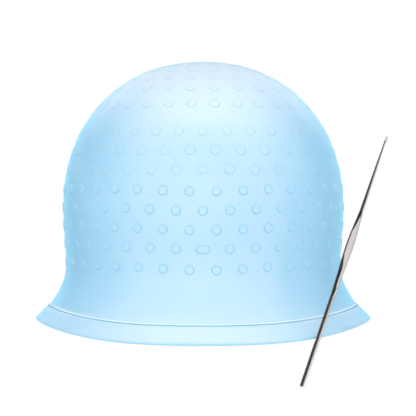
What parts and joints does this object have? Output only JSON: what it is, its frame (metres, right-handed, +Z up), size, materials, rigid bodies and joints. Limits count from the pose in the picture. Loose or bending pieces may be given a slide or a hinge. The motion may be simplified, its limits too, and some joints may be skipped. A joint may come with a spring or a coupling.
{
  "type": "highlighting cap",
  "caption": "Light blue silicone hair highlighting cap with raised strand markers, a stepped flared brim and a separate steel pull hook.",
  "frame": {"origin": "middle of the head opening, on the cap's turning axis, level with the lowest point of the brim at its front", "axes": "+Z up through the crown, -Y the front that shows the wide front mark, +X the side where the hook lies"},
  "size_m": [0.2166, 0.2126, 0.2001],
  "materials": {
    "silicone_dome": "translucent light blue silicone, satin with a soft sheen, raised rings",
    "silicone_brim": "the same silicone, plain and a little thicker",
    "hook_steel": "polished steel rod with a matte pressed thumb rest"
  },
  "bodies": {
    "cap": {"cap_dome": "silicone_dome", "cap_brim": "silicone_brim"},
    "hook": {"hook": "hook_steel"}
  },
  "joints": [
    {"name": "hook_draw", "type": "slide", "parent": "cap", "child": "hook", "axis": [0.3209, 0, 0.9471], "range_m": [0, 0.16]}
  ]
}
